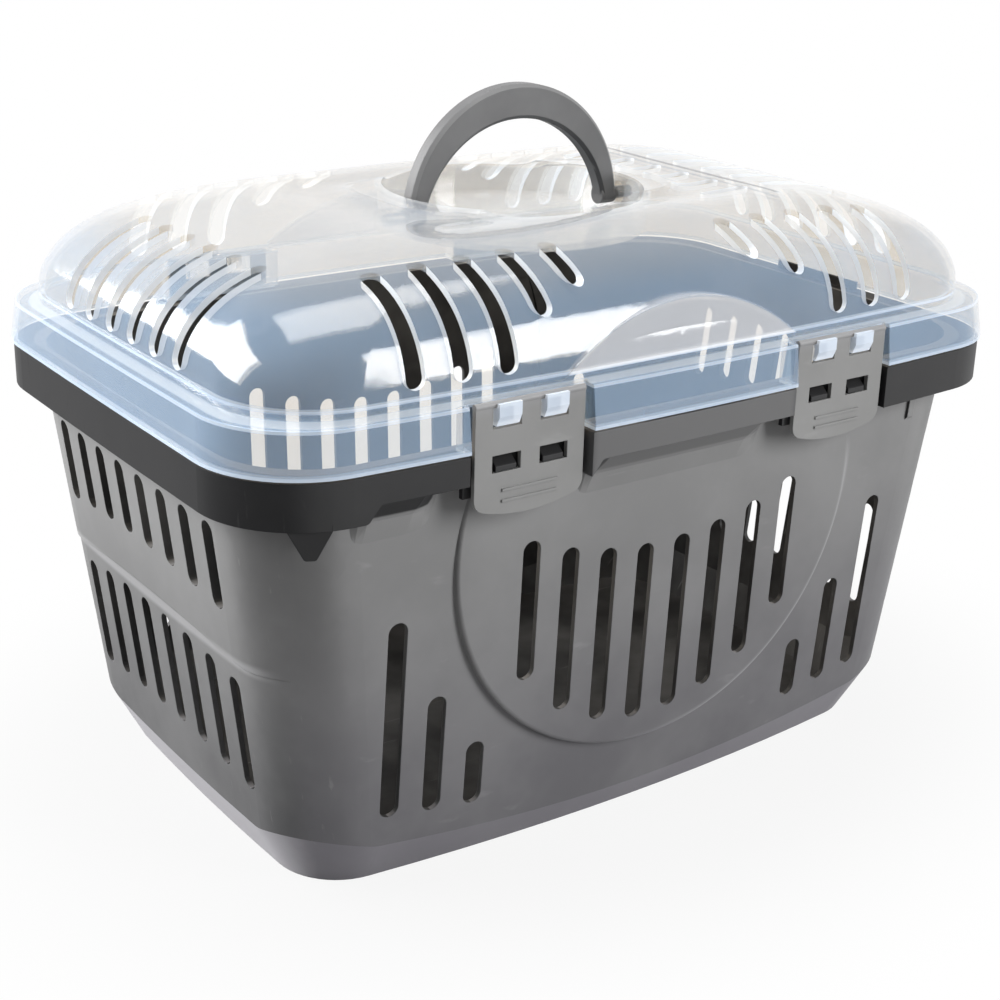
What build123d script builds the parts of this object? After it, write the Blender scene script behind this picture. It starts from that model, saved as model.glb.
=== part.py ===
"""Small pet carrier: a slotted tub, a clear domed lid, four clips and an arched handle.

Origin: centre of the tub's underside, on the floor.  +X runs along the carrier,
-Y is the front, +Z is up.  All sizes are in millimetres.
"""
import os
from math import cos, pi, sin, sqrt

from build123d import *

# Tub: foot, wall and floor
foot_length = 362.0
foot_width = 208.0
foot_corner = 34.0
foot_bow = 12.0
foot_slope = 0.50
foot_band = 56.0
foot_step_end = 10.0
foot_step_side = 12.5
wall_low_corner = 38.0
wall_top_corner = 47.0
wall_bow = 5.0
wall_end_bow = 3.0
wall = 2.6
floor_thickness = 3.0

# Tub: rim that the lid sits on
rim_length = 458.0
rim_width = 288.0
rim_corner = 50.0
rim_bow = 9.0
rim_end_bow = 1.0
rim_top = 221.3
rim_depth = 21.3
rim_skin = 2.6
rim_reach_end = 11.5
rim_reach_side = 11.0
shallow_depth = 13.5
shallow_inset = 0.5
shallow_step = 6.0
flare_drop = 24.0
flare_run_out = 21.0
flare_inset = 0.8
web_turn = 26.0
web_width = 19.0
web_drop = 13.0
web_tip = 5.0
rib_inset = 3.5
rib_width = 4.5
rib_height = 18.0
rib_rise = 1.6

# Tub: raised round panel on each long side
disc_radius = 122.0
disc_height = 163.0
disc_inset = 1.55
disc_lean = 0.04
panel_root = 40.0
disc_edge = 2.0

# Tub: raised upper panel on each end
end_panel_half = 96.0
end_panel_rise = 1.7
end_panel_bottom = 118.0
row_arch = 5.5

# Tub: air slots
side_slot_pitch = 23.0
side_slot_width = 10.0
side_slot_inner = 4
side_slot_outer = 3
inner_bottom_radius = 100.0
inner_bottom_centre = 154.5
inner_top_radius = 200.0
inner_top_low = 150.0
outer_slot_top = 66.0
outer_slot_rise = 31.0
outer_slot_gain = 6.5
outer_slot_bottom = 32.0
outer_bottom_rise = 3.3
end_slot_pitch = 22.5
end_slot_width = 9.5
end_slot_count = 4
end_high_bottom = 144.0
end_high_top = 187.0
end_low_bottom = 48.5
end_low_top = 108.0

# Lid: skirt, ledge and dome
skirt_overhang = 1.0
skirt_corner = 50.5
skirt_inset = 2.5
skirt_gap = 1.2
seat_gap = 0.3
skirt_top = 243.0
lid_skin = 2.3
dome_base = 246.0
ledge_end = 13.0
ledge_side = 11.0
dome_corner = 48.0
dome_bow = 7.0
dome_top = 300.0
crown_length = 160.0
crown_width = 90.0
crown_corner = 30.0
crown_bow = 2.0
dome_fullness = 2.5
dome_steps = 6

# Lid: raised arch on each long side, on the same circle as the tub's panel
arch_radius = 105.0
arch_height = 167.0
arch_rise = 0.6
arch_lean = 0.115

# Lid: air slots
lid_slot_width = 9.5
lid_side_first = 53.0
lid_side_pitch = 23.5
lid_side_count = 5
lid_side_bottom = 251.0
lid_side_step_one = 21.0
lid_side_step_two = 30.0
lid_side_inset = 37.0
lid_end_pitch = 23.2
lid_end_count = 3
lid_end_bottom = 250.0
lid_end_inset = 43.0
top_row_one = 78.0
top_row_one_length = 30.0
top_row_two = 119.0
top_row_two_length = 48.0
top_slot_width = 8.0

# Lid: round well for the handle
well_radius = 67.2
well_floor = 283.0

# Handle and its pegs
pivot_height = 289.0
handle_half_span = 65.0
handle_rise = 62.0
grip_half_span = 55.5
grip_rise = 44.5
handle_depth = 10.0
handle_chamfer = 1.8
peg_radius = 3.0
peg_reach = 77.0
peg_clearance = 0.3
boss_wall = 2.7
boss_end = 2.5

# Clips, their bars and the hooks that hold them
clip_centre = 94.5
clip_width = 59.0
clip_thickness = 2.4
clip_bottom = 190.0
clip_belly = 5.0
clip_corner = 7.0
pad_stand = 0.5
pad_margin = 3.0
bar_radius = 1.6
bar_stand_off = 3.2
bar_height = 242.0
window_offset = 12.7
window_width = 15.2
window_drop = 10.8
catch_window_bottom = 211.0
catch_window_top = 219.0
hook_width = 12.0
hook_clearance = 0.3
hook_wall = 1.7
hook_tail = 9.6
hook_lip = 0.8
catch_width = 11.0
catch_reach = 4.1
catch_clearance = 0.3
catch_nose = 2.4
catch_slope = 6.6
grip_rib_length = 30.0
grip_rib_height = 0.7
grip_rib_gap = 5.0

# Locating nibs on the rim, inside the skirt
nib_height = 5.0
nib_thickness = 2.0
nib_half_length = 32.0
nib_clearance = 0.8

# Shared places, all taken from the sizes above
rim_low = rim_top - rim_depth
shallow_low = rim_top - shallow_depth
wall_low_length = foot_length + 2 * foot_step_end
wall_low_width = foot_width + 2 * foot_step_side
wall_top_length = rim_length - 2 * rim_reach_end
wall_top_width = rim_width - 2 * rim_reach_side
shallow_side_end = wall_top_length / 2 - wall_top_corner - shallow_inset
rib_place = wall_top_length / 2 - wall_top_corner - rib_inset
disc_face_low = wall_top_width / 2 + wall_bow - disc_inset - disc_lean * rim_top
skirt_length = rim_length + 2 * skirt_overhang
skirt_width = rim_width + 2 * skirt_overhang
skirt_bow = rim_bow
skirt_end_bow = rim_end_bow
skirt_bottom = rim_top + skirt_gap
dome_length = skirt_length - 2 * ledge_end
dome_width = skirt_width - 2 * ledge_side
arch_face = dome_width / 2 + dome_bow + arch_rise
lid_side_reach = dome_width / 2 - lid_side_inset
lid_end_reach = dome_length / 2 - lid_end_inset
pad_face = rim_width / 2 + pad_stand
pad_half = clip_width / 2 + pad_margin
bar_y = -(pad_face + bar_stand_off)
clip_inner = pad_face + bar_stand_off - clip_thickness / 2


def outline(length, width, corner, bow, end_bow, z):
    """Rounded rectangle whose four sides bulge outward a little."""
    x = length / 2
    y = width / 2
    sides = ThreePointArc((-x, -y), (0, -y - bow), (x, -y))
    sides += ThreePointArc((x, -y), (x + end_bow, 0), (x, y))
    sides += ThreePointArc((x, y), (0, y + bow), (-x, y))
    sides += ThreePointArc((-x, y), (-x - end_bow, 0), (-x, -y))
    face = make_face(sides)
    face = fillet(face.vertices(), corner)
    return Pos(0, 0, z) * face


def block(x0, x1, y0, y1, z0, z1):
    """Box between two opposite corners."""
    box = Box(x1 - x0, y1 - y0, z1 - z0)
    return Pos((x0 + x1) / 2, (y0 + y1) / 2, (z0 + z1) / 2) * box


def both_sides(part):
    """A part and its copy turned half a turn about the upright axis."""
    return [part, Rot(0, 0, 180) * part]


def front_slot(x, width, z_low, z_high, y_near, y_far):
    """Upright slot with round ends, cut through a front wall."""
    shape = Plane.XZ * SlotOverall(z_high - z_low, width, rotation=90)
    tool = extrude(shape, amount=y_far - y_near)
    return Pos(x, -y_near, (z_low + z_high) / 2) * tool


def end_slot(y, width, z_low, z_high, x_near, x_far):
    """Upright slot with round ends, cut through a right-hand end wall."""
    shape = Plane.YZ * SlotOverall(z_high - z_low, width, rotation=90)
    tool = extrude(shape, amount=x_far - x_near)
    return Pos(x_near, y, (z_low + z_high) / 2) * tool


def leaning_round(radius, z_centre, face_at_zero, lean, edge):
    """Round block on the front side with a face that leans with height."""
    back = face_at_zero - panel_root
    z_low = z_centre - radius
    z_high = z_centre + radius
    side = Polyline(
        (-back, z_low - 5),
        (-(face_at_zero + lean * (z_low - 5)), z_low - 5),
        (-(face_at_zero + lean * (z_high + 5)), z_high + 5),
        (-back, z_high + 5),
        close=True,
    )
    slab = extrude(Plane.YZ * make_face(side), amount=radius + 5, both=True)
    disc = Plane.XZ * Circle(radius)
    disc = Pos(0, 0, z_centre) * extrude(disc, amount=rim_width)
    block_round = slab & disc
    if edge > 0:
        rim_edge = block_round.faces().sort_by(Axis.Y)[0].edges()
        block_round = fillet(rim_edge, edge)
    return block_round


def tub_shell(offset, z_from, z_to):
    """Solid wall form of the tub, drawn in by an offset."""
    low = outline(
        wall_low_length - 2 * offset, wall_low_width - 2 * offset,
        wall_low_corner - offset, wall_bow, wall_end_bow, 0,
    )
    top = outline(
        wall_top_length - 2 * offset, wall_top_width - 2 * offset,
        wall_top_corner - offset, wall_bow, wall_end_bow, rim_top,
    )
    wall_form = loft([low, top], ruled=True)
    spread = 2 * foot_slope * foot_band
    foot_in = outline(
        foot_length - 2 * offset, foot_width - 2 * offset,
        foot_corner - offset, foot_bow, wall_end_bow, 0,
    )
    foot_out = outline(
        foot_length + spread - 2 * offset, foot_width + spread - 2 * offset,
        foot_corner + spread / 2 - offset, foot_bow, wall_end_bow, foot_band,
    )
    foot = loft([foot_in, foot_out], ruled=True)
    above = block(-rim_length, rim_length, -rim_width, rim_width, foot_band, rim_top + 1)
    keep = foot + above
    form = wall_form & keep
    return form & block(-rim_length, rim_length, -rim_width, rim_width, z_from, z_to)


def wall_face(x, z):
    """Distance of the front wall's outer face from the middle plane."""
    lean = (wall_top_width - wall_low_width) / 2 / rim_top
    return wall_low_width / 2 + lean * z + wall_bow * (1 - (2 * x / wall_top_length) ** 2)


def rim_face(x):
    """Distance of the rim's outer face from the middle plane, on the front side."""
    return rim_width / 2 + rim_bow * (1 - (2 * x / rim_length) ** 2)


def flare_section(x, share):
    """Section of the cove under the shallow rim: full at share 1, sunk in the wall at 0."""
    z_low = shallow_low - flare_drop
    z_middle = shallow_low - flare_drop / 2
    root = wall_face(x, z_low) - 3 * wall
    sunk = wall_face(x, z_low) - wall / 2
    out = sunk + share * (rim_face(x) - flare_inset - sunk)
    middle = sunk + 0.36 * (out - sunk)
    foot = sunk + share * wall / 3
    z_top = rim_top - rim_skin / 2
    shape = Polyline(
        (-root, z_low), (-foot, z_low), (-middle, z_middle), (-out, shallow_low),
        (-out, z_top), (-root, z_top), close=True)
    return Pos(x, 0, 0) * (Plane.YZ * make_face(shape))


def flare(x_from, x_to, run_out_from, run_out_to):
    """Outward cove that carries the front wall up into the shallow rim.

    It runs out into the wall at each end, over the length given for that end.
    """
    steps = 3
    sections = []
    for step in range(steps, 0, -1):
        share = (1 + cos(pi * step / steps)) / 2
        sections.append(flare_section(x_from - run_out_from * step / steps, share))
    for step in range(steps + 1):
        sections.append(flare_section(x_from + (x_to - x_from) * step / steps, 1))
    for step in range(1, steps + 1):
        share = (1 + cos(pi * step / steps)) / 2
        sections.append(flare_section(x_to + run_out_to * step / steps, share))
    return loft(sections, ruled=True)


def flares():
    """The coves of the front side: one at the left end, one between the clips."""
    pad_from = clip_centre - pad_half
    pad_to = clip_centre + pad_half
    run = flare_run_out
    return [
        flare(-shallow_side_end, -pad_to - run, run / 2, run),
        flare(-pad_from + run / 2, pad_from - run, run / 2, run),
    ]


def shallow_cut(x_from, x_to):
    """Cutter for a shallow stretch of the front band, with a rounded step on its left."""
    z_below = rim_low - rim_skin
    profile = Polyline(
        (x_from - 4 * shallow_step, z_below), (x_from - 4 * shallow_step, rim_low),
        (x_from - shallow_step, rim_low), (x_from, shallow_low),
        (x_to, shallow_low), (x_to, z_below), close=True)
    face = make_face(profile)
    bends = [
        corner for corner in face.vertices()
        if abs(corner.X - x_from) < 0.1 or abs(corner.X - x_from + shallow_step) < 0.1
    ]
    face = fillet(bends, shallow_step / 2)
    reach = rim_bow + 3 * rim_skin
    cutter = extrude(Plane.XZ * face, amount=rim_bow + rim_skin + reach)
    return Pos(0, -(rim_width / 2 - reach), 0) * cutter


def rim():
    """Flanged rim: flat top, outer band, shallow stretches and clip pads."""
    outer = extrude(
        outline(rim_length, rim_width, rim_corner, rim_bow, rim_end_bow, rim_low), rim_depth)
    hollow = extrude(
        outline(
            rim_length - 2 * rim_skin, rim_width - 2 * rim_skin,
            rim_corner - rim_skin, rim_bow, rim_end_bow, rim_low - 1,
        ),
        rim_depth - rim_skin + 1,
    )
    pad_from = clip_centre - pad_half
    pad_to = clip_centre + pad_half
    for lift in (shallow_cut(-shallow_side_end, -pad_to),
                 shallow_cut(-pad_from + shallow_step, pad_from)):
        for tool in both_sides(lift):
            outer -= tool
    # flat recess behind each clip, with its own skin
    for side in (-1, 1):
        x0 = side * clip_centre - pad_half
        x1 = side * clip_centre + pad_half
        recess = block(x0, x1, -(rim_width / 2 + 30), -pad_face, rim_low - 1, rim_top + 1)
        backing = block(
            x0 - rim_skin, x1 + rim_skin, -(pad_face + 20), -(pad_face - rim_skin),
            rim_low - 1, rim_top - rim_skin)
        for tool in both_sides(recess):
            outer -= tool
        for tool in both_sides(backing):
            hollow -= tool
    band = outer - hollow
    return band


def corner_web():
    """Pointed web that hangs from the rim's band at the front left corner."""
    shape = Polyline(
        (-web_width / 2, rim_skin), (web_width / 2, rim_skin), (web_width / 2, 0),
        (web_tip / 2, -web_drop), (-web_tip / 2, -web_drop), (-web_width / 2, 0), close=True)
    face = make_face(shape)
    tip = face.vertices().group_by(Axis.Y)[0]
    face = fillet(tip, web_tip / 3)
    # the web starts inside the wall and ends just behind the rim's outer face
    reach = rim_corner / 2
    web = extrude(Plane.XZ * face, amount=reach)
    out = Pos(0, -(rim_corner - reach - flare_inset), rim_low) * web
    x = -(rim_length / 2 - rim_corner)
    y = -(rim_face(x) - rim_corner)
    return Pos(x, y, 0) * Rot(0, 0, -web_turn) * out


def under_rib():
    """Upright rib under the rim on the right of the front side."""
    z_low = rim_low - rib_height
    z_top = rim_low + rim_skin
    shape = Polyline(
        (-(wall_face(rib_place, z_low) - wall / 2), z_low - rib_rise),
        (-(wall_face(rib_place, z_low) + rib_rise), z_low + rib_rise),
        (-(wall_face(rib_place, z_top) + rib_rise), z_top),
        (-(wall_face(rib_place, z_top) - wall / 2), z_top),
        close=True)
    rib = extrude(Plane.YZ * make_face(shape), amount=rib_width / 2, both=True)
    return Pos(rib_place, 0, 0) * rib


def catch_noses():
    """Catches that the lower windows of one clip snap over."""
    noses = []
    low = catch_window_bottom + catch_clearance
    shape = Polyline(
        (-(pad_face - 1), low),
        (-(pad_face + catch_reach), low),
        (-(pad_face + catch_reach), low + catch_nose),
        (-(pad_face - 1), low + catch_slope),
        close=True,
    )
    nose = extrude(Plane.YZ * make_face(shape), amount=catch_width / 2, both=True)
    for side in (-1, 1):
        for window in (-1, 1):
            noses.append(Pos(side * clip_centre + window * window_offset, 0, 0) * nose)
    return noses


def side_slots():
    """Air slots of one long side of the tub: inner group and two outer groups."""
    tools = []
    near = foot_width / 2 - 2 * side_slot_width
    far = rim_width
    for i in range(side_slot_inner):
        x = side_slot_pitch * (i + 0.5)
        z_low = inner_bottom_centre - sqrt(inner_bottom_radius**2 - x**2)
        z_high = inner_top_low + inner_top_radius - sqrt(inner_top_radius**2 - x**2)
        for side in (-1, 1):
            tools.append(front_slot(side * x, side_slot_width, z_low, z_high, near, far))
    for i in range(side_slot_outer):
        x = side_slot_pitch * (side_slot_inner + i + 0.5)
        z_low = outer_slot_bottom + outer_bottom_rise * i
        z_high = outer_slot_top + outer_slot_rise * i + outer_slot_gain * i * (i - 1)
        for side in (-1, 1):
            tools.append(front_slot(side * x, side_slot_width, z_low, z_high, near, far))
    return tools


def tub_end_slots():
    """Air slots of one end of the tub, in two arched rows."""
    tools = []
    near = foot_length / 2 - 2 * end_slot_width
    far = rim_length
    widest = end_slot_pitch * (end_slot_count - 0.5)
    for i in range(end_slot_count):
        y = end_slot_pitch * (i + 0.5)
        lift = row_arch * (1 - (y / widest) ** 2)
        for side in (-1, 1):
            tools.append(end_slot(
                side * y, end_slot_width, end_high_bottom + lift, end_high_top, near, far))
            tools.append(end_slot(
                side * y, end_slot_width, end_low_bottom + lift, end_low_top + lift, near, far))
    return tools


def end_panels():
    """Slightly raised upper walls of both ends, with an arched lower edge.

    They are longer than the wall form but narrower, so they run out at the corners.
    """
    low = outline(
        wall_low_length + 2 * end_panel_rise, wall_low_width - 2 * end_panel_rise,
        wall_low_corner, wall_bow, wall_end_bow, 0)
    top = outline(
        wall_top_length + 2 * end_panel_rise, wall_top_width - 2 * end_panel_rise,
        wall_top_corner, wall_bow, wall_end_bow, rim_top)
    form = loft([low, top], ruled=True)
    half = rim_width / 2 + rim_bow
    z_high = rim_low + rim_skin
    arch = (
        Line((-half, z_high), (-half, end_panel_bottom))
        + Line((-half, end_panel_bottom), (-end_panel_half, end_panel_bottom))
        + ThreePointArc(
            (-end_panel_half, end_panel_bottom),
            (0, end_panel_bottom + row_arch),
            (end_panel_half, end_panel_bottom))
        + Line((end_panel_half, end_panel_bottom), (half, end_panel_bottom))
        + Line((half, end_panel_bottom), (half, z_high))
        + Line((half, z_high), (-half, z_high))
    )
    mask = extrude(Plane.YZ * make_face(arch), amount=rim_length)
    mask = Pos(wall_low_length / 2 - wall_low_corner, 0, 0) * mask
    return [form & piece for piece in both_sides(mask)]


def nibs():
    """Low ribs on the rim that keep the lid's skirt in place."""
    x_face = skirt_length / 2 - lid_skin - nib_clearance
    y_face = skirt_width / 2 + skirt_bow - lid_skin - nib_clearance
    sag = skirt_bow * (nib_half_length / (skirt_length / 2)) ** 2
    top = rim_top + nib_height
    ribs = []
    for side in (-1, 1):
        ribs.append(block(
            min(side * x_face, side * (x_face - nib_thickness)),
            max(side * x_face, side * (x_face - nib_thickness)),
            -nib_half_length, nib_half_length, rim_top - 1, top))
    ribs.append(block(
        -nib_half_length, nib_half_length,
        -(y_face - sag), -(y_face - sag - nib_thickness), rim_top - 1, top))
    return ribs


def make_tub():
    outer = tub_shell(0, 0, rim_top)
    inner = tub_shell(wall, floor_thickness, rim_top + 1)
    panel_limit = block(-rim_length, rim_length, -rim_width, rim_width, 0, shallow_low)
    panel = leaning_round(disc_radius, disc_height, disc_face_low, disc_lean, disc_edge)
    panel_in = leaning_round(
        disc_radius - wall, disc_height, disc_face_low - wall, disc_lean, 0)
    panel = panel & panel_limit
    panel_in = panel_in & panel_limit
    for piece in both_sides(panel):
        outer += piece
    for piece in end_panels():
        outer += piece
    for cove in flares():
        for piece in both_sides(cove):
            outer += piece
    outer += rim()
    for detail in (corner_web(), under_rib()):
        for piece in both_sides(detail):
            outer += piece
    for nose in catch_noses():
        for piece in both_sides(nose):
            outer += piece
    for rib in nibs():
        outer += rib
    for piece in both_sides(panel_in):
        inner += piece
    tub = outer - inner
    cuts = []
    for tool in side_slots():
        cuts.extend(both_sides(tool))
    for tool in tub_end_slots():
        cuts.extend(both_sides(tool))
    # the slots stop below the rim, so its band stays whole
    return tub - cuts


def dome(offset):
    """Crowned dome of the lid, drawn in by an offset, with a flat crown."""
    sections = []
    rise = dome_top - dome_base
    for step in range(dome_steps + 1):
        angle = pi / 2 * step / dome_steps
        out = max(cos(angle), 0) ** (2 / dome_fullness)
        up = sin(angle) ** (2 / dome_fullness)
        length = crown_length + (dome_length - crown_length) * out
        width = crown_width + (dome_width - crown_width) * out
        corner = crown_corner + (dome_corner - crown_corner) * out
        bow = crown_bow + (dome_bow - crown_bow) * out
        sections.append(outline(
            length - 2 * offset, width - 2 * offset, corner - offset / 2,
            bow, skirt_end_bow, dome_base - offset + rise * up))
    return loft(sections)


def skirt_form(offset, z_low):
    """Solid form of the skirt and the ledge above it, drawn in by an offset."""
    low = outline(
        skirt_length - 2 * offset, skirt_width - 2 * offset,
        skirt_corner - offset, skirt_bow, skirt_end_bow, z_low)
    top = outline(
        skirt_length - 2 * skirt_inset - 2 * offset, skirt_width - 2 * skirt_inset - 2 * offset,
        skirt_corner - offset, skirt_bow, skirt_end_bow, skirt_top - offset)
    inner_edge = outline(
        dome_length - 2 * offset, dome_width - 2 * offset,
        dome_corner - offset / 2, dome_bow, skirt_end_bow, dome_base - offset)
    return loft([low, top], ruled=True) + loft([top, inner_edge], ruled=True)


def lid_side_slots():
    """Slots over the front shoulder of the dome, the inner ones stepped shorter."""
    tools = []
    bottoms = [lid_side_bottom + lid_side_step_two, lid_side_bottom + lid_side_step_one]
    bottoms += [lid_side_bottom] * (lid_side_count - 2)
    y_far = skirt_width
    z_far = dome_top + 40
    for i in range(lid_side_count):
        x = lid_side_first + lid_side_pitch * i
        for side in (-1, 1):
            upright = front_slot(
                side * x, lid_slot_width, bottoms[i], z_far, lid_side_reach - 20, y_far)
            flat = SlotOverall(y_far - lid_side_reach, lid_slot_width, rotation=90)
            flat = Pos(side * x, -(y_far + lid_side_reach) / 2, bottoms[i]) * flat
            tools.append(upright & extrude(flat, z_far - bottoms[i]))
    return tools


def lid_end_slots():
    """Slots over the shoulder of the dome's right-hand end."""
    tools = []
    x_far = skirt_length
    z_far = dome_top + 40
    for i in range(lid_end_count):
        y = lid_end_pitch * (i + 0.5)
        for side in (-1, 1):
            upright = end_slot(
                side * y, lid_slot_width, lid_end_bottom, z_far, lid_end_reach - 20, x_far)
            flat = SlotOverall(x_far - lid_end_reach, lid_slot_width)
            flat = Pos((x_far + lid_end_reach) / 2, side * y, lid_end_bottom) * flat
            tools.append(upright & extrude(flat, z_far - lid_end_bottom))
    return tools


def top_slots():
    """Two rows of short slots in the right half of the lid's top."""
    tools = []
    rows = ((top_row_one, top_row_one_length), (top_row_two, top_row_two_length))
    low = dome_top - 5 * lid_skin
    for x_from, length in rows:
        for i in range(lid_end_count):
            y = lid_end_pitch * (i + 0.5)
            for side in (-1, 1):
                flat = Pos(x_from + length / 2, side * y, low) * SlotOverall(
                    length, top_slot_width)
                tools.append(extrude(flat, 40))
    return tools


def hooks():
    """Hooks of one long side that hold the clip bars, seen as short open channels."""
    cup = bar_radius + hook_clearance
    front = -(pad_face + bar_stand_off + cup + hook_wall)
    face = -(pad_face + bar_stand_off + clip_thickness / 2 + 0.4)
    low = bar_height - hook_tail
    shape = Polyline(
        (-(pad_face - 1), low),
        (face, low),
        (front, bar_height - cup - hook_wall - 1.5),
        (front, bar_height + hook_lip),
        (front + hook_wall, bar_height + hook_lip),
        (front + hook_wall, bar_height),
        (-(pad_face - 1), bar_height),
        close=True,
    )
    solid = extrude(Plane.YZ * make_face(shape), amount=hook_width / 2, both=True)
    seat = Plane.YZ * (Pos(bar_y, bar_height) * Circle(cup))
    solid -= extrude(seat, amount=hook_width, both=True)
    above = block(
        -hook_width, hook_width, front + hook_wall, -pad_face,
        bar_height, bar_height + 5)
    solid -= above
    result = []
    for side in (-1, 1):
        for window in (-1, 1):
            result.append(Pos(side * clip_centre + window * window_offset, 0, 0) * solid)
    return result


def make_lid():
    outer = skirt_form(0, skirt_bottom) + dome(0)
    inner = skirt_form(lid_skin, skirt_bottom - 1) + dome(lid_skin)
    face = arch_face + arch_lean * dome_base
    limit = block(-rim_length, rim_length, -rim_width, rim_width, dome_base - 1, dome_top)
    arch = leaning_round(arch_radius, arch_height, face, -arch_lean, 0) & limit
    limit_in = block(
        -rim_length, rim_length, -rim_width, rim_width, dome_base - lid_skin - 1, dome_top)
    arch_in = leaning_round(
        arch_radius - lid_skin, arch_height, face - lid_skin, -arch_lean, 0) & limit_in
    for piece in both_sides(arch):
        outer += piece
    for piece in both_sides(arch_in):
        inner += piece
    # flat recess for each clip, and its skin
    for side in (-1, 1):
        x0 = side * clip_centre - pad_half
        x1 = side * clip_centre + pad_half
        recess = block(x0, x1, -skirt_width, -pad_face, skirt_bottom - 1, dome_base + 10)
        backing = block(
            x0 - lid_skin, x1 + lid_skin, -skirt_width, -(pad_face - lid_skin),
            skirt_bottom - 2, skirt_top)
        for tool in both_sides(recess):
            outer -= tool
        for tool in both_sides(backing):
            inner -= tool
    shell = outer - inner
    # seats under the clip pads carry the lid on the rim
    for side in (-1, 1):
        x0 = side * clip_centre - pad_half
        x1 = side * clip_centre + pad_half
        foot = block(
            x0, x1, -pad_face, -(pad_face - lid_skin), rim_top + seat_gap, skirt_bottom + 1)
        for piece in both_sides(foot):
            shell += piece
    for hook in hooks():
        for piece in both_sides(hook):
            shell += piece
    # round well with a floor, and a closed boss for each peg
    well_outer = Pos(0, 0, well_floor - lid_skin) * Cylinder(
        well_radius + lid_skin, dome_top - well_floor + lid_skin,
        align=(Align.CENTER, Align.CENTER, Align.MIN))
    well = Pos(0, 0, well_floor) * Cylinder(
        well_radius, dome_top, align=(Align.CENTER, Align.CENTER, Align.MIN))
    shell += well_outer & dome(0)
    boss_radius = peg_radius + peg_clearance + boss_wall
    boss_far = peg_reach + peg_clearance + boss_end
    boss = Plane.YZ * Circle(boss_radius)
    boss = Pos(-boss_far, 0, pivot_height) * extrude(boss, amount=2 * boss_far)
    shell += boss
    shell -= well
    bore = Plane.YZ * Circle(peg_radius + peg_clearance)
    bore_reach = peg_reach + peg_clearance
    shell -= Pos(-bore_reach, 0, pivot_height) * extrude(bore, amount=2 * bore_reach)
    cuts = []
    for tool in lid_side_slots() + lid_end_slots():
        cuts.extend(both_sides(tool))
    cuts.extend(top_slots())
    return shell - cuts


def make_handle():
    outer = ThreePointArc((-handle_half_span, 0), (0, handle_rise), (handle_half_span, 0))
    inner = ThreePointArc((grip_half_span, 0), (0, grip_rise), (-grip_half_span, 0))
    path = (
        outer
        + Line((handle_half_span, 0), (grip_half_span, 0))
        + inner
        + Line((-grip_half_span, 0), (-handle_half_span, 0))
    )
    arch = extrude(Plane.XZ * make_face(path), amount=handle_depth / 2, both=True)
    long_edges = [
        edge for edge in arch.edges()
        if edge.geom_type == GeomType.CIRCLE and edge.length > 4 * handle_depth
    ]
    arch = chamfer(long_edges, handle_chamfer)
    # round feet about the pivot, and pegs that run out into the lid
    foot = Plane.YZ * Circle(handle_depth / 2)
    leg = handle_half_span - grip_half_span
    peg = Plane.YZ * Circle(peg_radius)
    handle = arch
    for side in (-1, 1):
        x_low = min(side * handle_half_span, side * grip_half_span)
        handle += Pos(x_low, 0, 0) * extrude(foot, amount=leg)
        x_peg = min(side * peg_reach, side * grip_half_span)
        handle += Pos(x_peg, 0, 0) * extrude(peg, amount=peg_reach - grip_half_span)
    return Pos(0, 0, pivot_height) * handle


def make_clip():
    """One clip of the front side, drawn about x = 0."""
    half = clip_width / 2
    top = bar_height
    face = (
        Line((-half, top), (half, top))
        + Line((half, top), (half, clip_bottom + clip_belly))
        + ThreePointArc(
            (half, clip_bottom + clip_belly), (0, clip_bottom), (-half, clip_bottom + clip_belly))
        + Line((-half, clip_bottom + clip_belly), (-half, top))
    )
    sheet = make_face(face)
    low_corners = sheet.vertices().group_by(Axis.Y)[0]
    sheet = fillet(low_corners, clip_corner)
    plate = extrude(Plane.XZ * sheet, amount=clip_thickness)
    plate = Pos(0, -clip_inner, 0) * plate
    bar = extrude(Plane.YZ * (Pos(bar_y, bar_height) * Circle(bar_radius)), half, both=True)
    clip = plate
    for window in (-1, 1):
        x0 = window * window_offset - window_width / 2
        x1 = window * window_offset + window_width / 2
        clip -= block(
            x0, x1, -pad_face - 20, -pad_face + 1, bar_height - window_drop, bar_height + 5)
        clip -= block(
            x0, x1, -pad_face - 20, -pad_face + 1, catch_window_bottom, catch_window_top)
    clip += bar
    # two low ribs near the lower edge for the fingertip
    for i in range(2):
        z = clip_bottom + clip_belly + grip_rib_gap * (i + 0.5)
        rib = block(
            -grip_rib_length / 2, grip_rib_length / 2,
            -(clip_inner + clip_thickness + grip_rib_height), -(clip_inner + clip_thickness / 2),
            z - grip_rib_height, z + grip_rib_height)
        clip += rib
    return clip


def main():
    os.makedirs("parts", exist_ok=True)
    clip = make_clip()
    pieces = {
        "base_tub": make_tub(),
        "lid": make_lid(),
        "handle": make_handle(),
        "front_left_clip": Pos(-clip_centre, 0, 0) * clip,
        "front_right_clip": Pos(clip_centre, 0, 0) * clip,
        "rear_left_clip": Rot(0, 0, 180) * Pos(clip_centre, 0, 0) * clip,
        "rear_right_clip": Rot(0, 0, 180) * Pos(-clip_centre, 0, 0) * clip,
    }
    for name, piece in pieces.items():
        export_step(piece, os.path.join("parts", name + ".step"))
        box = piece.bounding_box()
        print(name, len(piece.solids()), round(piece.volume), box.size)


main()
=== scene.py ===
import bpy
import numpy as np
from mathutils import Matrix, Vector

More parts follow.
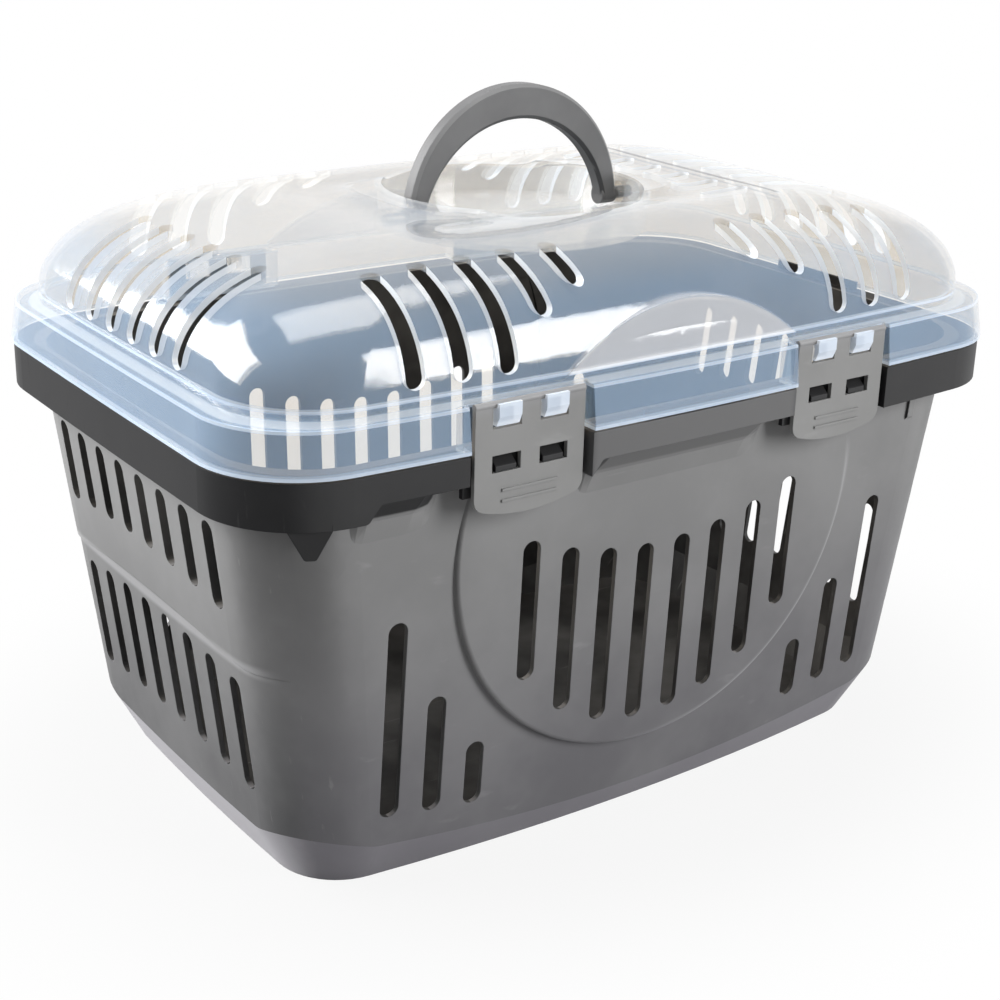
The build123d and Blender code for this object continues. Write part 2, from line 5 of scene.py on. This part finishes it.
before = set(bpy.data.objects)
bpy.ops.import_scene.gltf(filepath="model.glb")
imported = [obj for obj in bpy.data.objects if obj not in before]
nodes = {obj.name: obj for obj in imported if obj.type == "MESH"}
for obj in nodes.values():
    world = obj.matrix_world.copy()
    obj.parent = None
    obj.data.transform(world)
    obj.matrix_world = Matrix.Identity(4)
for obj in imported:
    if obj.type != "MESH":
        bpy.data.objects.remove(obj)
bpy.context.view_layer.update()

# Camera
# The photograph was taken from the front left, a little above the lid, with a
# moderate lens and a roll of a degree and a half.
azimuth, elevation, roll = np.radians((-35.8, 20.3, 1.5))
view_point = np.array((-0.5346, -0.7368, 0.4809))
back = np.array((
    np.sin(azimuth) * np.cos(elevation),
    -np.cos(azimuth) * np.cos(elevation),
    np.sin(elevation),
))
level_right = np.cross(-back, (0, 0, 1))
level_right /= np.linalg.norm(level_right)
level_up = np.cross(level_right, -back)
right = level_right * np.cos(roll) + level_up * np.sin(roll)
up = level_up * np.cos(roll) - level_right * np.sin(roll)
lens = bpy.data.cameras.new("photo_lens")
lens.lens = 64.4
lens.sensor_width = 36.0
lens.shift_y = -0.0315
lens.clip_end = 60
camera = bpy.data.objects.new("photo_camera", lens)
pose = np.eye(4)
pose[:3, 0], pose[:3, 1], pose[:3, 2], pose[:3, 3] = right, up, back, view_point
camera.matrix_world = Matrix(pose.tolist())
bpy.context.scene.collection.objects.link(camera)
bpy.context.scene.camera = camera


# Studio
# A white sheet on the floor, a white surround, and three soft boxes: left and
# behind, right and in front, and overhead.
class Field:
    """A socket whose value varies over a surface; arithmetic on it adds the nodes."""

    def __init__(self, tree, socket):
        self.tree = tree
        self.socket = socket

    def _maths(self, operation, *values):
        node = self.tree.nodes.new("ShaderNodeMath")
        node.operation = operation
        for place, value in zip(node.inputs, values):
            if isinstance(value, Field):
                self.tree.links.new(value.socket, place)
            else:
                place.default_value = value
        return Field(self.tree, node.outputs[0])

    def __add__(self, other):
        return self._maths("ADD", self, other)

    def __radd__(self, other):
        return self._maths("ADD", other, self)

    def __sub__(self, other):
        return self._maths("SUBTRACT", self, other)

    def __rsub__(self, other):
        return self._maths("SUBTRACT", other, self)

    def __mul__(self, other):
        return self._maths("MULTIPLY", self, other)

    def __rmul__(self, other):
        return self._maths("MULTIPLY", other, self)

    def __truediv__(self, other):
        return self._maths("DIVIDE", self, other)

    def __pow__(self, other):
        return self._maths("POWER", self, other)

    def ramp(self, low, high):
        """0 up to low and 1 from high, eased between them."""
        node = self.tree.nodes.new("ShaderNodeMapRange")
        node.interpolation_type = "SMOOTHSTEP"
        self.tree.links.new(self.socket, node.inputs["Value"])
        node.inputs["From Min"].default_value = low
        node.inputs["From Max"].default_value = high
        return Field(self.tree, node.outputs[0])

    def above(self, level, soft):
        """1 above the level and 0 below it, eased over soft on each side."""
        return self.ramp(level - soft, level + soft)

    def below(self, level, soft):
        """1 below the level and 0 above it, eased over soft on each side."""
        return 1 - self.above(level, soft)

    def between(self, low, high, soft):
        """1 from low to high and 0 outside them, eased over soft on each side."""
        return self.above(low, soft) * self.below(high, soft)

    def within(self, middle, half, soft):
        """1 where the value is within half of middle, fading over soft."""
        return 1 - (self - middle).size().ramp(half, half + soft)

    def largest(self, other):
        """The larger of the two values, point by point."""
        return self._maths("MAXIMUM", self, other)

    def size(self):
        """The value without its sign."""
        return self._maths("ABSOLUTE", self)


class Finish:
    """A material being built; its node method makes any node."""

    def __init__(self, name):
        self.material = bpy.data.materials.new(name)
        self.material.use_nodes = True
        self.tree = self.material.node_tree
        self.tree.nodes.clear()

    def node(self, kind, settings=None, outlet=0, **sockets):
        """A node of that kind: its settings first, then its sockets by name or number."""
        made = self.tree.nodes.new(kind)
        for name, value in (settings or {}).items():
            setattr(made, name, value)
        for name, value in sockets.items():
            place = made.inputs[int(name[1:]) if name[0] == "_" else name.replace("_", " ")]
            if isinstance(value, Field):
                self.tree.links.new(value.socket, place)
            else:
                place.default_value = value
        return Field(self.tree, made.outputs[outlet])

    def parts(self, vector):
        """The three numbers of a vector."""
        split = self.tree.nodes.new("ShaderNodeSeparateXYZ")
        self.tree.links.new(vector.socket, split.inputs[0])
        return [Field(self.tree, outlet) for outlet in split.outputs]

    def place(self):
        """The point on the piece, in metres, as a vector and as three numbers."""
        spot = self.node("ShaderNodeTexCoord", outlet="Object")
        return spot, self.parts(spot)

    def facing(self):
        """The direction that the surface faces on the piece, as three numbers."""
        return self.parts(self.node("ShaderNodeTexCoord", outlet="Normal"))

    def blend(self, share, first, second):
        """The first colour where share is 0, the second where it is 1."""
        return self.node(
            "ShaderNodeMix", {"data_type": "RGBA"}, outlet=2, _0=share, _6=first, _7=second)

    def done(self, surface):
        """The material, with that surface as its output."""
        out = self.tree.nodes.new("ShaderNodeOutputMaterial")
        self.tree.links.new(surface.socket, out.inputs["Surface"])
        return self.material


def seen_share(finish):
    """1 for rays from the camera, from gloss and through clear plastic."""
    path = finish.tree.nodes.new("ShaderNodeLightPath")
    seen = Field(finish.tree, path.outputs["Is Camera Ray"])
    seen = seen.largest(Field(finish.tree, path.outputs["Is Glossy Ray"]))
    return seen.largest(Field(finish.tree, path.outputs["Is Transmission Ray"]))


class Surround(Finish):
    """The world's own node tree."""

    def __init__(self, world):
        self.tree = world.node_tree
        self.tree.nodes.clear()


world = bpy.data.worlds.new("studio")
world.use_nodes = True
bpy.context.scene.world = world
ambient = 0.15
surround = Surround(world)
level = seen_share(surround) * (1 - ambient) + ambient
sky = surround.node("ShaderNodeBackground", Color=(1, 1, 1, 1), Strength=level)
out = surround.tree.nodes.new("ShaderNodeOutputWorld")
surround.tree.links.new(sky.socket, out.inputs["Surface"])


def soft_box(name, place, aim, width, height, power):
    """A rectangular lamp at a place, turned to shine at a point."""
    lamp = bpy.data.lights.new(name, "AREA")
    lamp.shape = "RECTANGLE"
    lamp.size, lamp.size_y = width, height
    lamp.energy = power
    obj = bpy.data.objects.new(name, lamp)
    obj.location = place
    obj.rotation_euler = (Vector(place) - Vector(aim)).to_track_quat("Z", "Y").to_euler()
    bpy.context.scene.collection.objects.link(obj)


middle_height = 0.15
lamp_distance = 2.2


def from_carrier(bearing, height):
    """A lamp's place, at a bearing from +X and a height, both in degrees."""
    bearing, height = np.radians((bearing, height))
    flat = lamp_distance * np.cos(height)
    return (
        flat * np.cos(bearing), flat * np.sin(bearing),
        middle_height + lamp_distance * np.sin(height))


soft_box("left_box", from_carrier(142, 28), (0, 0, middle_height), 2.0, 1.4, 92)
soft_box("right_box", from_carrier(-60, 19), (0, 0, middle_height), 0.86, 1.45, 43)
soft_box("top_box", (0.1, 0.2, 1.8), (0, 0, 0.2), 1.4, 1.0, 22)


def distance(across, along):
    """The length of a flat vector: the root of the sum of its squares."""
    return (across ** 2 + along ** 2) ** 0.5


# The sheet is nearly white close to the carrier, where it keeps the shadow, and
# white from an ellipse of these half lengths outwards.
sheet_half = 8.0
shadow_half_x, shadow_half_y = 0.42, 0.34
shadow_depth = 0.10
floor_mesh = bpy.data.meshes.new("floor")
corners = [(-sheet_half, -sheet_half, 0), (sheet_half, -sheet_half, 0),
           (sheet_half, sheet_half, 0), (-sheet_half, sheet_half, 0)]
floor_mesh.from_pydata(corners, [], [(0, 1, 2, 3)])
floor = bpy.data.objects.new("floor", floor_mesh)
bpy.context.scene.collection.objects.link(floor)
sheet = Finish("floor_sheet")
_, (x, y, _) = sheet.place()
away = distance(x / shadow_half_x, y / shadow_half_y)
paper = sheet.node("ShaderNodeBsdfDiffuse", Color=(0.35, 0.35, 0.35, 1))
lit = sheet.node("ShaderNodeEmission", Color=(1, 1, 1, 1), Strength=1.0)
share = seen_share(sheet) * (away.ramp(0.5, 0.95) * shadow_depth + (1 - shadow_depth))
both = sheet.node("ShaderNodeMixShader", _0=share, _1=paper, _2=lit)
floor_mesh.materials.append(sheet.done(both))


# Tub
# One moulding in grey polypropylene: a satin skin with a fine spark-eroded grain.
# Painted shade makes the rim's drop band nearly black and the inside dark; painted
# light and shade also vary the walls and the foot.
def dress(node, material):
    """Gives a CAD node its finish."""
    mesh = nodes[node].data
    mesh.materials.clear()
    mesh.materials.append(material)


def moulded(finish, spot, shade, roughness, gloss=0.35, edge=0.0007, wear=1.0):
    """Injection-moulded plastic over the colour field: a fine grain in the skin, faint flow
    marks that change its sheen, fine scuffs, and edges rounded as a mould rounds them."""
    grain_size = 0.0009
    grain_depth = 0.0004
    speck = finish.node("ShaderNodeTexNoise", Vector=spot, Scale=1 / grain_size, Detail=3.0)
    flow = finish.node("ShaderNodeTexNoise", Vector=spot, Scale=14.0, Detail=4.0, Roughness=0.6)
    stretched = finish.node(
        "ShaderNodeMapping", Vector=spot, Rotation=(0.3, 0.5, 0.7), Scale=(25, 420, 60))
    scuff = finish.node("ShaderNodeTexNoise", Vector=stretched, Scale=1.0, Detail=5.0)
    scuff = scuff.ramp(0.66, 0.76)
    toned = finish.blend(flow.ramp(0.3, 0.75) * 0.12 * wear, shade, (0.5, 0.5, 0.5, 1))
    toned = finish.blend(scuff * 0.10 * wear, toned, (0.6, 0.6, 0.6, 1))
    rounded = finish.node("ShaderNodeBevel", {"samples": 4}, Radius=edge)
    bump = finish.node(
        "ShaderNodeBump", Strength=0.05, Distance=grain_depth, Height=speck - scuff * 0.4,
        Normal=rounded)
    return finish.node(
        "ShaderNodeBsdfPrincipled", Base_Color=toned,
        Roughness=flow * 0.12 + (roughness - 0.06) + scuff * 0.15,
        Specular_IOR_Level=gloss, Normal=bump)


tub_skin = Finish("tub_plastic_skin")
spot, (x, y, z) = tub_skin.place()
nx, ny, nz = tub_skin.facing()
length, width = x.size(), y.size()
end_facing = nx.size()
side_facing = ny.size()

# Painted shade makes the inner faces nearly black. The inner walls face the middle,
# the long way counting for less, and the floor faces up.
length_share = 0.44
floor_top = 0.009
inside = (nx * x * length_share + ny * y).below(0, 0.004)
inside = inside.largest(nz.above(0.7, 0.1) * z.below(floor_top, 0.003))

# The rim's drop band stands out past the wall, with a web under it at two corners.
# Painted shade makes the band and the webs nearly black, less so on the long sides;
# between the clips the band has no painted shade and is as pale as the wall.
band_foot = 0.1985
band_half_length, band_half_width = 0.2195, 0.1385
bend_x, bend_y, bend_radius = 0.179, 0.0975, 0.0405
web_foot, web_start_x, web_start_y = 0.1855, 0.184, 0.1065
pale_half_length, pale_start_y = 0.063, 0.131
outside = (length - band_half_length).largest(width - band_half_width)
rim = z.above(band_foot, 0.001) * outside.above(0, 0.001)
from_bend = distance(length - bend_x, width - bend_y)
web = z.above(web_foot, 0.0005) * from_bend.above(bend_radius, 0.0005)
web = web * length.above(web_start_x, 0.001) * width.above(web_start_y, 0.0015)
rim = rim.largest(web)
between_clips = length.below(pale_half_length, 0.005) * width.above(pale_start_y, 0.001)

# Painted highlights lighten the steps of the round side panels and of the end panels, where
# these catch the light.
disc_radius, disc_height = 0.122, 0.163
side_step_top = 0.1725
end_panel_foot, end_panel_half_width = 0.1185, 0.1035
from_disc = distance(x, z - disc_height)
right_hand = x * ny * -1
side_step = from_disc.within(disc_radius, 0.001, 0.0025) * side_facing.above(0.45, 0.15)
side_step = side_step * z.below(side_step_top, 0.0125) * right_hand.above(0.01, 0.04)
end_step = z.within(end_panel_foot, 0.0012, 0.0035) * end_facing.above(0.45, 0.15)
end_step = end_step * width.below(end_panel_half_width, 0.0085)
step_painted_highlight = side_step.largest(end_step)

# The sides of the slots are the faces across the wall, clear of the panels' edges; painted
# shade makes them nearly black.
wall_lean = 0.13
slots_foot, slots_top = 0.026, 0.19475
side_slots_half_length, end_slots_half_width = 0.174, 0.08775
from_middle = length - z * wall_lean
side_slots = end_facing.above(0.7, 0.1) * from_middle.below(side_slots_half_length, 0.002)
side_slots = side_slots * (1 - from_disc.within(disc_radius, 0.003, 0.001))
end_slots = side_facing.above(0.7, 0.1) * width.below(end_slots_half_width, 0.00125)
slot_side_painted_shade = side_slots.largest(end_slots)
slot_side_painted_shade = slot_side_painted_shade * z.above(slots_foot, 0.004) * z.below(slots_top, 0.00075)

# The foot's band, the end walls, and the bends between the side and end walls, which
# painted shade darkens, more so towards the rim.
foot_top = 0.0425
foot = nz.below(-0.25, 0.05) * z.below(foot_top, 0.0025)
end = end_facing.above(0.75, 0.15)
corner_painted_shade = (nx * ny).size().above(0.30, 0.15) * (z.ramp(0.08, 0.18) * 0.35 + 0.05)

# Painted light and shade: the walls are paler towards the rim and the ends darker low
# down, painted shade darkens the bends and the slots, and painted highlights lighten the steps.
low_painted_shade = tub_skin.blend(end, (0.132, 0.13, 0.139, 1), (0.085, 0.085, 0.088, 1))
wall_shade = tub_skin.blend(z.ramp(0.03, 0.19), low_painted_shade, (0.215, 0.215, 0.216, 1))
wall_shade = tub_skin.blend(corner_painted_shade, wall_shade, (0.03, 0.03, 0.03, 1))
wall_shade = tub_skin.blend(step_painted_highlight * 0.45, wall_shade, (0.42, 0.42, 0.43, 1))
wall_shade = tub_skin.blend(slot_side_painted_shade * 0.8, wall_shade, (0.03, 0.03, 0.03, 1))
# Painted light from the floor lightens the foot's band, the ends most.
foot_painted_floor_light = tub_skin.blend(end, (0.185, 0.178, 0.20, 1), (0.42, 0.41, 0.44, 1))
# Painted shade: the rim's band nearly black, less so on the long sides, pale between the clips.
rim_painted_shade = tub_skin.blend(
    side_facing.ramp(0.8, 0.97), (0.012, 0.012, 0.013, 1), (0.036, 0.036, 0.037, 1))
rim_painted_shade = tub_skin.blend(between_clips, rim_painted_shade, (0.14, 0.14, 0.142, 1))
shade = tub_skin.blend(foot, wall_shade, foot_painted_floor_light)
shade = tub_skin.blend(rim, shade, rim_painted_shade)
# Painted shade: the inner walls and floor nearly black.
shade = tub_skin.blend(inside, shade, (0.015, 0.015, 0.016, 1))
tub_plastic = moulded(tub_skin, spot, shade, 0.44, gloss=0.12, wear=1 - rim * 0.85)
dress("base_tub", tub_skin.done(tub_plastic))


# Lid
# One clear moulding, slightly milky: bluish on its sides and nearly neutral on its
# crown, and warm where light comes through. Painted highlights and a painted glow make
# it whitish along cut edges, hem, creases and hooks, and painted shade darkens the groove.
lid_skin = Finish("clear_lid_skin")
spot, (x, y, z) = lid_skin.place()
nx, ny, nz = lid_skin.facing()
length, width = x.size(), y.size()

# The cut faces in the slots of the long sides, the ends and the top. They face along
# the wall that a slot goes through, so the number across that wall is small.
cut_facing = 0.045
side_start_y, end_start_x, top_foot = 0.090, 0.171, 0.276
side_slots_foot, end_slots_foot = 0.24975, 0.24875
side_slots_near, side_slots_far = 0.045, 0.155
top_slots_near, slots_half_width = 0.075, 0.065
side_cut = width.above(side_start_y, 0.002) * z.above(side_slots_foot, 0.00075)
side_cut = side_cut * length.between(side_slots_near, side_slots_far, 0.001)
side_cut = side_cut * ny.size().below(cut_facing, 0.015)
end_cut = length.above(end_start_x, 0.001) * z.above(end_slots_foot, 0.00075)
end_cut = end_cut * width.below(slots_half_width, 0.001) * nx.size().below(cut_facing, 0.015)
top_cut = x.between(top_slots_near, end_start_x, 0.001) * z.above(top_foot, 0.001)
top_cut = top_cut * width.below(slots_half_width, 0.001) * nz.size().below(cut_facing, 0.015)
cut = side_cut.largest(end_cut).largest(top_cut)

# The hem, the two creases along the ledge, and the hooks that hold the clips' bars,
# which with the slots' cut faces get painted highlights and a painted glow.
hem_top = 0.2242
ledge_crease, dome_crease = 0.2424, 0.2468
clip_middle, hook_offset, hook_half_length = 0.0945, 0.0127, 0.0065
hook_foot, hook_start_y = 0.22975, 0.1452
hem = z.below(hem_top, 0.0004)
crease = z.within(ledge_crease, 0.0005, 0.0005).largest(z.within(dome_crease, 0.0005, 0.0006))
from_hook = ((length - clip_middle).size() - hook_offset).size()
hook = width.above(hook_start_y, 0.0004) * z.above(hook_foot, 0.00075)
hook = hook * from_hook.below(hook_half_length, 0.0003)
edge_painted_highlight = (cut * 0.75).largest(hem * 0.35).largest(hook * 0.6).largest(crease * 0.5)

# The skirt, the handle's well, the arches over the round panels, and the groove
# across the top, which painted shade darkens.
skirt_top = 0.242
well_radius, well_floor = 0.0708, 0.280
arch_radius, arch_height = 0.105, 0.167
arch_foot, arch_start_y = 0.24625, 0.112
groove_x, groove_half_width, groove_foot = 0.1135, 0.076, 0.2875
skirt = z.below(skirt_top, 0.0005)
well = distance(x, y).below(well_radius, 0.0004) * z.above(well_floor, 0.0005)
arch = distance(x, z - arch_height).below(arch_radius, 0.001)
arch = arch * width.above(arch_start_y, 0.002) * z.above(arch_foot, 0.00075)
groove = x.within(groove_x, 0.0012, 0.0006) * width.below(groove_half_width, 0.002)
groove = groove * z.above(groove_foot, 0.0025)

# The haze is greyer on the crown and in the well; painted highlights make it pale on
# the edges, and painted shade makes it dark along the groove.
crown = z.ramp(0.274, 0.290)
haze_shade = lid_skin.blend(crown, (0.42, 0.65, 0.98, 1), (0.48, 0.62, 0.82, 1))
haze_shade = lid_skin.blend(arch, haze_shade, (0.70, 0.75, 0.84, 1))
haze_shade = lid_skin.blend(well, haze_shade, (0.64, 0.68, 0.72, 1))
haze_shade = lid_skin.blend(edge_painted_highlight, haze_shade, (0.85, 0.87, 0.89, 1))
haze_shade = lid_skin.blend(groove, haze_shade, (0.12, 0.13, 0.15, 1))
# A painted glow: the edges give off light of their own.
glow = lid_skin.blend(edge_painted_highlight, (0, 0, 0, 1), (0.30, 0.31, 0.33, 1))
flow = lid_skin.node("ShaderNodeTexNoise", Vector=spot, Scale=18.0, Detail=4.0, Roughness=0.6)
ripple = lid_skin.node("ShaderNodeTexNoise", Vector=spot, Scale=55.0, Detail=2.0)
bump = lid_skin.node("ShaderNodeBump", Strength=0.10, Distance=0.0015, Height=ripple)

# Light goes straight through, meets the haze, or is mirrored, more so at a glance.
warm = lid_skin.node("ShaderNodeBsdfTransparent", Color=(0.99, 0.93, 0.84, 1))
pale = lid_skin.node("ShaderNodeBsdfTransparent", Color=(0.995, 0.985, 0.97, 1))
through = lid_skin.node("ShaderNodeMixShader", _0=well, _1=warm, _2=pale)
milk = lid_skin.node(
    "ShaderNodeBsdfPrincipled", Base_Color=haze_shade, Roughness=0.6,
    Specular_IOR_Level=0.0, Normal=bump, Emission_Color=glow, Emission_Strength=1.0)
polish = lid_skin.node(
    "ShaderNodeBsdfPrincipled", Base_Color=(1, 1, 1, 1), Metallic=1.0,
    Roughness=flow * 0.08 + 0.05, Normal=bump)
glance = lid_skin.node("ShaderNodeLayerWeight", outlet="Facing", Blend=0.5, Normal=bump)
haze = flow * 0.06 + 0.15 + arch * 0.26 + skirt * 0.05 + well * 0.10
haze = haze + edge_painted_highlight * 0.65 + groove * 0.5
sheen = glance ** 5 * 0.9 + 0.045
clear = lid_skin.node("ShaderNodeMixShader", _0=haze, _1=through, _2=milk)
surface = lid_skin.node("ShaderNodeMixShader", _0=sheen, _1=clear, _2=polish)
dress("lid", lid_skin.done(surface))


# Handle
# One solid grey moulding, flat on its sides, with a bevelled edge all round and a peg
# on each foot. A painted highlight makes the bevel paler, and painted shade makes the
# inside of the arch darker.
peg_height = 0.289
inner_offset = 0.008
bevel_facing = 0.707
handle_skin = Finish("handle_plastic_skin")
spot, (x, _, z) = handle_skin.place()
nx, ny, nz = handle_skin.facing()
bevel = ny.size().within(bevel_facing, 0.12, 0.05)
inward_painted_shade = (nx * x + nz * (z - peg_height)).below(-inner_offset, 0.004)
# Painted highlight on the bevel and painted shade inside the arch.
shade = handle_skin.blend(bevel * 0.5, (0.085, 0.085, 0.087, 1), (0.22, 0.22, 0.22, 1))
shade = handle_skin.blend(inward_painted_shade, shade, (0.035, 0.035, 0.036, 1))
dress("handle", handle_skin.done(moulded(handle_skin, spot, shade, 0.42)))


# Clips
# Four like mouldings, each a plate with windows and a round bar on top, which the
# skin shows a little paler.
clip_skin = Finish("clip_plastic_skin")
spot, (_, _, z) = clip_skin.place()
plate_top, bar_height = 0.236, 0.243
shade = clip_skin.blend(
    z.ramp(plate_top, bar_height), (0.218, 0.218, 0.216, 1), (0.25, 0.25, 0.255, 1))
clip_plastic = clip_skin.done(moulded(clip_skin, spot, shade, 0.42, edge=0.0005))
for node in ("front_left_clip", "front_right_clip", "rear_left_clip", "rear_right_clip"):
    dress(node, clip_plastic)


bpy.context.scene.view_settings.view_transform = "Standard"
